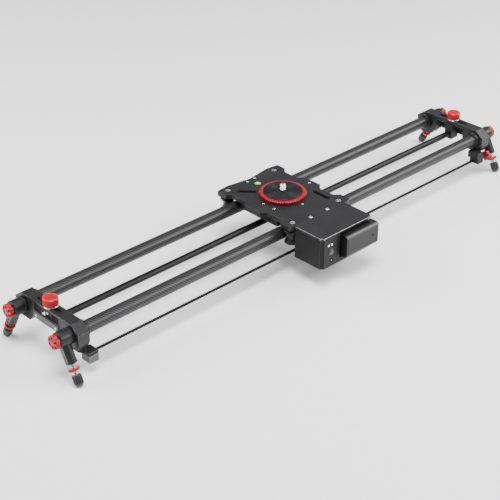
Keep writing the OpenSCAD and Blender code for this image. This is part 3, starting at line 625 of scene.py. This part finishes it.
def pivot_knobs():
    """Scalloped knobs that lock the legs, with dimples painted dark as shade and a cap painted lighter as a
    highlight.
    """
    for side, way in SIDES.items():
        for row in ROWS:
            node = f"pivot_knob_{side}_{row}"
            low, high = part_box(node)
            radius, thick, lobes = PIVOT_KNOB_R, high.x - low.x, 6
            y, z = JOINTS[f"leg_fold_{side}_{row}"]["pos_m"][1], RAIL_Z
            rim, moat = thick - 0.4 * MM, thick - 0.9 * MM
            profile = [(0, SHAFT_HOLE_R + 0.01 * MM), (0, radius - 1.2 * MM), (1 * MM, radius),
                       (thick - 1.6 * MM, radius), (rim, radius - 1.2 * MM), (rim, 5.4 * MM), (moat, 5 * MM),
                       (moat, 4.4 * MM), (thick, 3.9 * MM), (thick, 0)]
            knob = flute(lathe(profile, 144), lobes, 1.7 * MM, -1 * MM, thick - 0.5 * MM, 2.5)
            for v in knob.verts:
                v.co.z = min(v.co.z, thick)
            # The cap is painted in the lighter red: a painted highlight.
            for face in knob.faces:
                face.material_index = 1 if face.calc_center_median().xy.length < 5 * MM else 0
            parts = [(knob, None)]
            # Dimples painted dark: painted shade.
            for n in range(lobes):
                cup = lathe(mm((0, 0), (0, 1.7), (0.45, 1.7), (0.45, 1.5), (0.1, 1.3), (0.1, 0)), 20)
                angle, cup_circle = math.tau * n / lobes, 7.9 * MM
                put(cup, move(cup_circle * math.cos(angle), cup_circle * math.sin(angle), thick - 0.5 * MM))
                parts.append((cup, 2))
            shape = combine(*parts)
            put(shape, facing_x(way, low.x if way > 0 else high.x, y, z))
            make(f"{node}_grip", shape, node, ["red_anodised", "red_painted_highlight", "print_and_painted_shade"], [node])


def tension_knob():
    """Star knob that tightens the belt."""
    low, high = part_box("tension_knob")
    radius, thick = TENSION_KNOB_R, high.x - low.x
    profile = [(0, 0), (0, radius - 2 * MM), (1.2 * MM, radius), (thick - 1.5 * MM, radius),
               (thick, radius - 1.8 * MM), (thick, 3.4 * MM), (thick - 0.8 * MM, 3 * MM), (thick - 0.8 * MM, 0)]
    knob = flute(lathe(profile, 144), 6, 2.1 * MM, -1, 1, 1.6)
    place = JOINTS["tension_knob_turn"]["pos_m"]
    put(knob, move(low.x, place[1], place[2]) @ turn(90, "Y"))
    make("tension_knob_star", knob, "tension_knob", ["ring_red"], ["tension_knob"])


# ---- legs and feet ----

def leg_place(side, row):
    """Matrix of a leg drawn hanging from its pivot, with X outwards."""
    joint = JOINTS[f"foot_adjust_{side}_{row}"]
    foot_low, foot_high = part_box(f"foot_{side}_{row}")
    axis = Vector(joint["axis"]) * (1 if joint["axis"][2] > 0 else -1)
    lean = math.degrees(math.atan2(-axis.y, axis.z))
    x = (foot_low.x + foot_high.x) / 2
    y = JOINTS[f"leg_fold_{side}_{row}"]["pos_m"][1]
    return move(x, y, RAIL_Z) @ turn(lean, "X") @ flip_x(SIDES[side]), lean


def legs():
    """Legs with a grooved barrel on the pivot, a flat along the tube painted lighter as a sheen, a slot painted
    dark as shade, and what screws into them.
    """
    for side in SIDES:
        for row in ROWS:
            node = f"leg_{side}_{row}"
            place, lean = leg_place(side, row)
            low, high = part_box(node)
            foot_low, foot_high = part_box(f"foot_{side}_{row}")
            tip_r = (foot_high.x - foot_low.x) / 2
            reach = (RAIL_Z - tip_r) / math.cos(math.radians(lean))
            top = reach + tip_r - FOOT_LENGTH
            ring_top = top - FOOT_TO_RING - LOCK_RING_HEIGHT
            end = RING_TO_TUBE - ring_top
            inner_x = low.x if SIDES[side] > 0 else -high.x
            barrel = leg_barrel()
            put(barrel, move(inner_x - abs((foot_low.x + foot_high.x) / 2)) @ turn(90, "Y"))
            flat = LEG_TUBE_R * 0.86
            # A dark slot drawn on the flat: painted shade.
            slot = block((flat - 0.5 * MM, -1.3 * MM, end + 7 * MM), (flat + 0.06 * MM, 1.3 * MM, end + 13.5 * MM),
                         0.5 * MM)
            shape = combine((barrel, 0), (leg_tube(end, flat), None), (slot, 2))
            put(shape, place)
            make(f"{node}_tube", shape, node, ["leg_anodised", "leg_flat_painted_sheen", "print_and_painted_shade"], [node])
            lock_ring(side, row, place, -ring_top)
            foot(side, row, place, reach, tip_r, top, -end - 12 * MM)


def leg_barrel():
    """Barrel on the pivot, along Z, with a groove near its inner end."""
    radius, length = LEG_BARREL_R, LEG_BARREL_LENGTH
    return lathe([(0, SHAFT_HOLE_R), (0, radius - 1 * MM), (1 * MM, radius), (4.5 * MM, radius),
                  (4.9 * MM, radius - 0.5 * MM), (5.5 * MM, radius - 0.5 * MM), (5.9 * MM, radius),
                  (length - 1.5 * MM, radius), (length, radius - 1.5 * MM), (length, 7 * MM),
                  (length - 0.6 * MM, 6.6 * MM), (length - 0.6 * MM, SHAFT_HOLE_R), (0, SHAFT_HOLE_R)], 72)


def leg_tube(end, flat):
    """Tube hanging from the pivot, with a grooved end and a flat cut on its outer side that is painted lighter as
    a sheen.
    """
    radius = LEG_TUBE_R
    tube = lathe([(end, SHAFT_HOLE_R), (end, radius - 0.8 * MM), (end + 0.8 * MM, radius),
                  (end + 3.6 * MM, radius), (end + 4 * MM, radius - 0.4 * MM),
                  (end + 4.6 * MM, radius - 0.4 * MM), (end + 5 * MM, radius),
                  (-2 * MM, radius), (-2 * MM, SHAFT_HOLE_R), (end, SHAFT_HOLE_R)], 96)
    for v in tube.verts:
        if v.co.z > end + 4.9 * MM:
            v.co.x = max(-radius, min(v.co.x, flat))
    # The flat takes the lighter finish: a painted sheen.
    for face in tube.faces:
        face.material_index = 1 if face.calc_center_median().x > flat - 0.05 * MM else 0
    return tube


def lock_ring(side, row, place, high):
    """Knurled ring that locks a foot."""
    node = f"lock_ring_{side}_{row}"
    low, radius = high - LOCK_RING_HEIGHT, LOCK_RING_R
    ring = lathe([(low, SHAFT_HOLE_R), (low, radius - 0.7 * MM), (low + 0.6 * MM, radius),
                  (high - 0.6 * MM, radius), (high, radius - 0.7 * MM), (high, SHAFT_HOLE_R),
                  (low, SHAFT_HOLE_R)], 144)
    flute(ring, 36, 0.35 * MM, low + 0.3 * MM, high - 0.3 * MM)
    put(ring, place)
    make(f"{node}_grip", ring, node, ["red_anodised"], [node])


def foot(side, row, place, reach, radius, top, stud_top):
    """Fluted rubber foot with a round tip, on its threaded stud."""
    node = f"foot_{side}_{row}"
    angles = [math.pi / 2 * n / 10 for n in range(11)]
    arc = [(-reach - radius * math.cos(angle), radius * math.sin(angle)) for angle in angles]
    rubber = lathe(arc + [(-reach + 1.5 * MM, radius), (-top - 3 * MM, radius),
                          (-top - 1.6 * MM, radius - 0.2 * MM), (-top, radius - 1.6 * MM), (-top, 0)], 96)
    flute(rubber, 12, 1.1 * MM, -reach - 3 * MM, -top - 2.4 * MM, 2.0)
    stud = lathe(thread(-top - 1 * MM, -stud_top, 4 * MM, 1.25 * MM), 32)
    shape = combine((rubber, 0), (stud, 1))
    put(shape, place)
    make(f"{node}_rubber", shape, node, ["foot_rubber", "screw_steel"], [node])


# ---- end brackets, scales and belt anchors ----

def brackets():
    for side in SIDES:
        # The brackets' eased edges take the light edge metal: partly diamond-cut, partly a painted highlight.
        make_milled(f"bracket_{side}", 0.9 * MM, ["bracket_anodised", "cut_edge_and_painted_sheen"])
        # The rod blocks' eased edges take the lighter edge finish: a painted highlight.
        make_milled(f"rod_block_{side}", 0.6 * MM, ["arm_black", "edge_painted_highlight"])


def scale_plates():
    """Grey scale plates with fine graduations that carry no figures."""
    parts = []
    for low, high in solids("scale_plates"):
        side = 1 if low.x > 0 else -1
        face = high.x if side > 0 else low.x
        parts.append((block(low, high, 0.35 * MM), 0))
        near, far = sorted((face - side * 0.2 * MM, face + side * 0.04 * MM))
        for n in range(-8, 9):
            top = low.z + (4.4 if n % 4 == 0 else 3) * MM
            line = block((near, (2 * n - 0.2) * MM, low.z + 1.2 * MM), (far, (2 * n + 0.2) * MM, top))
            parts.append((line, 1))
    make("scale_plate_pair", combine(*parts), "frame", ["scale_grey", "print_and_painted_shade"], ["scale_plates"])


def belt_anchors():
    make_milled("belt_arm_left", 0.6 * MM, ["arm_black", "edge_painted_highlight"])
    make_milled("belt_clamp_left", 0.7 * MM, ["clamp_grey", "cut_edge_and_painted_sheen"])
    make_milled("belt_arm_right", 0.5 * MM, ["arm_black", "edge_painted_highlight"])


def drive_belt():
    """Toothed belt: a thin band with its teeth below."""
    low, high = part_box("drive_belt")
    band, pitch, inset = 0.6 * MM, 2.0 * MM, 0.1 * MM
    parts = [(block((low.x, low.y, high.z - band), high, 0.15 * MM, 1), 0)]
    for n in range(int((high.x - low.x) / pitch)):
        x = low.x + (n + 0.25) * pitch
        tooth = block((x, low.y + inset, low.z), (x + pitch / 2, high.y - inset, high.z - band * 0.9))
        parts.append((tooth, 0))
    make("drive_belt_toothed", combine(*parts), "frame", ["belt_rubber"], ["drive_belt"])


# ---- carriage ----

def carriage():
    # The eased edges take the lighter edge finish: a painted highlight.
    make_milled("carriage_plate", 0.7 * MM, ["plate_anodised", "edge_painted_highlight"])
    make_milled("carriage_frame", 0.6 * MM, ["arm_black", "edge_painted_highlight"])


def axle_bolts():
    """Bolts that hold the rollers, each with a head, a nut and a sleeve, and the pins of the idlers."""
    parts = []
    plate_low, roller_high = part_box("carriage_plate")[0].z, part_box("roller_left_front")[1].z
    head_height, nut_r, nut_hole = 4 * MM, 6.5 * MM, 3.9 * MM
    for low, high in solids("axle_bolts"):
        middle, size = (low + high) / 2, high - low
        if size.z > size.y:
            place, head = move(middle.x, middle.y), high.z - head_height
            screw = socket_screw(5.5 * MM, head_height, 0.48)
            shank = lathe(drum(low.z, head + 0.5 * MM, 4 * MM, 0.5 * MM), 32)
            nut = lathe(drum(low.z + 0.1 * MM, low.z + 3 * MM, nut_r, 0.5 * MM, hole=nut_hole), 36)
            sleeve = lathe(drum(roller_high + 0.4 * MM, plate_low, nut_r, 0.4 * MM, hole=nut_hole), 40)
            parts += [(put(screw, move(middle.x, middle.y, head)), 0), (put(shank, place), 0),
                      (put(six_sided(nut, 7 * MM), place), 0), (put(sleeve, place), 1)]
        else:
            pin = lathe(drum(-size.y / 2, size.y / 2, size.x / 2, 0.4 * MM), 32)
            parts.append((put(pin, facing_front(middle.x, middle.y, middle.z)), 0))
    make("axle_bolt_set", combine(*parts), "carriage", ["screw_steel", "roller_black"], ["axle_bolts"])


def rollers():
    """Grooved rollers that run along the outer side of the rails, each with a bearing in it."""
    for side in SIDES:
        for row in ROWS:
            node = f"roller_{side}_{row}"
            low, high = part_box(node)
            middle = (low + high) / 2
            radius, half = (high.x - low.x) / 2, (high.z - low.z) / 2
            reach = abs(middle.y) - RAIL_Y
            groove_r, bearing_r = RAIL_R + 0.4 * MM, 8 * MM
            edge = math.sqrt(groove_r ** 2 - (reach - radius) ** 2) + 0.3 * MM
            heights = [edge * (n / 7 - 1) for n in range(15)]
            groove = [(h, min(radius - 0.2 * MM, reach - math.sqrt(groove_r ** 2 - min(abs(h), groove_r) ** 2)))
                      for h in heights]
            lower = [(-half, bearing_r), (-half, radius - 0.8 * MM), (-half + 0.8 * MM, radius),
                     (-edge - 0.3 * MM, radius)]
            upper = [(-height, r) for height, r in reversed(lower)]
            skin = lower + groove + upper + lower[:1]
            inner, sunk = [(-half, SHAFT_HOLE_R), (-half, 5.6 * MM)], half - 0.4 * MM
            race = inner + [(-sunk, 5.8 * MM), (-sunk, 7 * MM), (-half, 7.2 * MM), (-half, bearing_r)]
            bearing = race + [(-height, r) for height, r in reversed(race)] + race[:1]
            shape = combine((lathe(skin, 64), 0), (lathe(bearing, 48), 1))
            put(shape, move(*middle))
            make(f"{node}_wheel", shape, node, ["roller_black", "motor_steel"], [node])


def bubble_level():
    """Round level: a rim, domed liquid, a ring line and a flat bubble; the liquid and the bubble are painted
    glowing.
    """
    low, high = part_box("bubble_level")
    middle, radius = (low + high) / 2, (high.x - low.x) / 2
    top, line_r = high.z - low.z, (radius * 0.42, radius * 0.48)
    well, line_top = top - 0.6 * MM, top - 0.1 * MM
    rim = lathe([(0, 0), (0, radius), (top - 0.3 * MM, radius), (top, radius - 0.2 * MM), (top, radius - 0.5 * MM),
                 (well, radius - 0.6 * MM), (well, 0)], 48)
    liquid = lathe([(well, radius - 0.6 * MM), (top - 0.35 * MM, radius * 0.6),
                    (top - 0.2 * MM, radius * 0.3), (top - 0.15 * MM, 0)], 48)
    line = lathe([(top - 0.3 * MM, line_r[0]), (line_top, line_r[0]), (line_top, line_r[1]),
                  (top - 0.32 * MM, line_r[1])], 40)
    bubble = bmesh.new()
    bmesh.ops.create_uvsphere(bubble, u_segments=20, v_segments=12, radius=1.3 * MM)
    put(bubble, move(0.7 * MM, 0.4 * MM, top - 0.2 * MM) @ Matrix.Diagonal((1, 1, 0.15, 1)))
    # The liquid and the bubble take glowing finishes: painted glow.
    shape = combine((rim, 1), (liquid, 0), (line, 1), (bubble, 2))
    put(shape, move(middle.x, middle.y, low.z))
    make("bubble_level_vial", shape, "carriage", ["level_green", "collar_black", "led_white"], ["bubble_level"])


# ---- pan platform ----

def pan_ring():
    """Ribbed ring round the platform, with painted shade down in its grooves."""
    radius, height = (ring_high.x - ring_low.x) / 2, ring_high.z - ring_low.z
    low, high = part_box("head_platform")
    hole = (high.x - low.x) / 2 + 0.02 * MM
    ring = lathe([(0, hole), (0, radius - 1.2 * MM), (0.7 * MM, radius - 0.1 * MM), (1 * MM, radius),
                  (height - 1.6 * MM, radius), (height - 1.2 * MM, radius - 0.2 * MM),
                  (height - 0.4 * MM, radius - 1.4 * MM), (height, radius - 2.6 * MM), (height, hole + 0.6 * MM),
                  (height - 0.5 * MM, hole), (0, hole)], 448)
    flute(ring, RIBS, 1.3 * MM, 0.6 * MM, height - 0.3 * MM, 1.4)
    paint_shade_in_grooves(ring, RIBS, radius - 3 * MM, 1)
    put(ring, move(*PAN))
    make("pan_ring_ribbed", ring, "pan", ["ring_red", "red_painted_shade"], ["pan_ring"])


def head_platform():
    """Platform with turned rings on its face, and the stud for a head."""
    low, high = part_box("head_platform")
    radius, height = (high.x - low.x) / 2, high.z - low.z
    stud_low, stud_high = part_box("head_stud")
    stud_r = (stud_high.x - stud_low.x) / 2
    neck_r, hub_r = stud_r - 0.8 * MM, 13.1 * MM
    hole, relief = neck_r + 0.02 * MM, stud_r + 0.3 * MM
    floor, step, groove = height - 5 * MM, height - 1 * MM, height - 0.35 * MM
    profile = [(0, hub_r), (0, radius - 0.4 * MM), (0.4 * MM, radius), (height - 0.9 * MM, radius),
               (height, radius - 0.9 * MM)]
    for n in range(8):
        r = radius - (3 + 2.2 * n) * MM
        profile += [(height, r), (groove, r - 0.3 * MM), (groove, r - 0.7 * MM), (height, r - 1 * MM)]
    profile += [(height, relief), (step, relief), (step, hole), (floor, hole), (floor, hub_r), (0, hub_r)]
    disc = put(lathe(profile, 128), move(PAN.x, PAN.y, low.z))
    make("head_platform_disc", disc, "pan", ["platform_black"], ["head_platform"])
    neck = high.z + 1.5 * MM
    stud = combine((lathe(drum(stud_low.z, neck, neck_r, 0.2 * MM), 48), 0),
                   (lathe(thread(neck, stud_high.z, stud_r, 1.6 * MM, tip=1.2 * MM), 48), 0))
    make("head_stud_threaded", put(stud, move(PAN.x, PAN.y)), "pan", ["screw_steel"], ["head_stud"])


# ---- motor box ----

def motor_box():
    make_milled("motor_housing", 0.5 * MM, ["box_black", "edge_painted_highlight"])
    # The lid's eased edges take the light edge metal: a painted highlight line.
    make_milled("housing_cover", 0.7 * MM, ["plate_anodised", "cut_edge_and_painted_sheen"])
    for node, width, finish_name in (("battery_plate", 0.3, "box_black"), ("circuit_board", 0.2, "board_green"),
                                     ("gear_motor", 0.8, "motor_steel"), ("drive_pulley", 0.1, "motor_steel"),
                                     ("idler_left", 0.3, "motor_steel"), ("idler_right", 0.3, "motor_steel"),
                                     ("guide_block", 0.6, "guide_grey"), ("pan_shaft", 0.4, "motor_steel")):
        make_milled(node, width * MM, [finish_name, finish_name])


def control_panel():
    """Front panel with a socket for a plug, lights with bezels and a groove at its edge."""
    low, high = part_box("control_panel")
    face = low.y
    button_low, button_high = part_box("power_button")
    x = (button_low.x + button_high.x) / 2
    button_z = (button_low.z + button_high.z) / 2
    parts = [(milled("control_panel", 0.25 * MM), None)]
    # The bezels take the lighter edge finish: a painted highlight.
    bezel = lathe(mm((0, 4.6), (0.35, 4.7), (0.35, 5.4), (0, 5.7)), 40)
    parts.append((put(bezel, facing_front(x, face, button_z)), 1))
    port_place = facing_front(x, face, button_z - 15 * MM)
    # The socket's hollow is painted dark: painted shade.
    port = lathe(mm((0, 3.4), (0.5, 3.2), (0.5, 2.5), (-0.6, 2.4), (-0.6, 0)), 40)
    parts.append((put(port, port_place), 2))
    pin = lathe(mm((-0.5, 0.9), (0.3, 0.9), (0.55, 0.6), (0.6, 0)), 20)
    parts.append((put(pin, port_place), 3))
    # A groove painted dark: painted shade.
    groove_x = high.x - 6 * MM
    groove = block((groove_x, face - 0.05 * MM, low.z + 3 * MM),
                   (groove_x + 1 * MM, face + 0.3 * MM, high.z - 3 * MM), 0.2 * MM)
    parts.append((groove, 2))
    for led_low, led_high in solids("status_leds"):
        middle = (led_low + led_high) / 2
        # The light's bezel takes the lighter edge finish: a painted highlight.
        rim = lathe(mm((0, 1.7), (0.4, 1.75), (0.4, 2.2), (0, 2.4)), 32)
        parts.append((put(rim, facing_front(middle.x, face, middle.z)), 1))
    make("control_panel_face", combine(*parts), "carriage",
         ["panel_black", "edge_painted_highlight", "print_and_painted_shade", "screw_steel"], ["control_panel"])


def lights_and_button():
    """Domed status lights and the button's dished cap."""
    parts = []
    for low, high in solids("status_leds"):
        middle, radius, tall = (low + high) / 2, (high.x - low.x) / 2, high.y - low.y
        dome = lathe([(0, 0), (0, radius), (tall * 0.4, radius), (tall * 0.75, radius * 0.8),
                      (tall, radius * 0.4), (tall, 0)], 32)
        parts.append((put(dome, facing_front(middle.x, high.y, middle.z)), 0))
    make("status_led_domes", combine(*parts), "carriage", ["led_white"], ["status_leds"])
    low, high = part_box("power_button")
    middle, radius, tall = (low + high) / 2, (high.x - low.x) / 2, high.y - low.y
    cap = lathe([(0, 0), (0, radius), (tall - 0.7 * MM, radius), (tall - 0.2 * MM, radius - 0.35 * MM),
                 (tall, radius - 0.9 * MM), (tall - 0.25 * MM, radius * 0.5), (tall - 0.3 * MM, 0)], 48)
    put(cap, facing_front(middle.x, high.y, middle.z))
    make("power_button_cap", cap, "power_button", ["scale_grey"], ["power_button"])


def battery():
    """Video battery: round long edges painted lighter as a highlight, a seam near each end, two grooves and a
    dimple painted dark as shade.
    """
    low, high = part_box("battery")
    size = high - low
    bm = block(low, high)
    long_edges = [e for e in bm.edges if abs((e.verts[0].co - e.verts[1].co).x) > size.x / 2]
    rounded = bmesh.ops.bevel(bm, geom=long_edges, offset=4.5 * MM, offset_type="OFFSET", segments=8, profile=0.5,
                              affect="EDGES", material=-1)
    # The rounded long edges take the lighter grey: a painted highlight.
    for face in rounded["faces"]:
        face.material_index = 1
    end_edges = [e for e in bm.edges if all(min(v.co.x - low.x, high.x - v.co.x) < 1e-6 for v in e.verts)]
    bmesh.ops.bevel(bm, geom=end_edges, offset=0.9 * MM, offset_type="OFFSET", segments=3, profile=0.5,
                    affect="EDGES", material=-1)
    centre = (low + high) / 2
    depth, on_line = 0.4 * MM, 1e-5
    for seam in (low.x + 4 * MM, high.x - 5 * MM):
        slice_across(bm, 0, seam - 0.35 * MM, seam, seam + 0.35 * MM)
        for v in bm.verts:
            if abs(v.co.x - seam) < on_line:
                v.co.y += (centre.y - v.co.y) / (size.y / 2) * depth
                v.co.z += (centre.z - v.co.z) / (size.z / 2) * depth
    for groove in (low.z + 7 * MM, low.z + 12 * MM):
        slice_across(bm, 2, groove - 0.45 * MM, groove, groove + 0.45 * MM)
        for v in bm.verts:
            inside = low.x + 5 * MM < v.co.x < high.x - 6 * MM
            if inside and abs(v.co.z - groove) < on_line and v.co.y < centre.y:
                v.co.y += depth
    bmesh.ops.recalc_face_normals(bm, faces=bm.faces)
    # The dimple is painted dark: painted shade.
    dimple = lathe(mm((0, 0), (0.06, 1.9), (0, 2.3)), 32)
    put(dimple, facing_front(high.x - 14 * MM, low.y, low.z + size.z * 0.52))
    make("battery_shell", combine((bm, None), (dimple, 2)), "battery",
         ["battery_grey", "battery_painted_highlight", "print_and_painted_shade"], ["battery"])


rails()
tracking_rod()
collars()
frame_screws()
clamp_screws()
plate_screws()
clamp_knobs()
pivot_knobs()
tension_knob()
legs()
brackets()
scale_plates()
belt_anchors()
drive_belt()
carriage()
axle_bolts()
rollers()
bubble_level()
pan_ring()
head_platform()
motor_box()
control_panel()
lights_and_button()
battery()


# ---- studio ----

def studio():
    """Pale floor, even air and the lamps: one above, a strip in front, and two behind."""
    floor_bm = bmesh.new()
    bmesh.ops.create_grid(floor_bm, x_segments=2, y_segments=2, size=12)
    mesh = bpy.data.meshes.new("studio_floor")
    floor_bm.to_mesh(mesh)
    floor_bm.free()
    floor = bpy.data.objects.new("studio_floor", mesh)
    floor.location.z = -0.05 * MM
    finish("studio_paper", (0.9, 0.9, 0.9), (0.92, 0.92, 0.92), (0.7, 0.8), bump=0.02)
    mesh.materials.append(FINISH["studio_paper"])
    bpy.context.scene.collection.objects.link(floor)
    world = bpy.data.worlds.new("studio_air")
    world.use_nodes = True
    air = world.node_tree.nodes["Background"]
    air.inputs["Color"].default_value = (1, 1, 1, 1)
    air.inputs["Strength"].default_value = 0.32
    bpy.context.scene.world = world
    for name, place, size, power in (("key", (-0.5, -0.5, 2.7), (1.4, 1.4), 125),
                                     ("front_strip", (1.45, -1.35, 1.3), (2.2, 1.15), 85),
                                     ("back_strip", (-1.3, 1.4, 1.3), (2.0, 0.7), 45),
                                     ("back_glow", (2.0, 1.3, 1.4), (1.2, 1.0), 2)):
        light = bpy.data.lights.new(name, "AREA")
        light.shape, light.size, light.size_y, light.energy = "RECTANGLE", *size, power
        lamp = bpy.data.objects.new(name, light)
        lamp.location = place
        lamp.rotation_euler = (-Vector(place)).to_track_quat("-Z", "Y").to_euler()
        bpy.context.scene.collection.objects.link(lamp)


def camera():
    data = bpy.data.cameras.new("camera")
    data.sensor_width = 36.0
    data.lens = 93.95
    seen_from = bpy.data.objects.new("camera", data)
    seen_from.location = (-1.35086, -1.34881, 1.11971)
    seen_from.rotation_euler = (math.radians(90 - 30.632), 0, math.radians(-43.665))
    bpy.context.scene.collection.objects.link(seen_from)
    bpy.context.scene.camera = seen_from


studio()
camera()
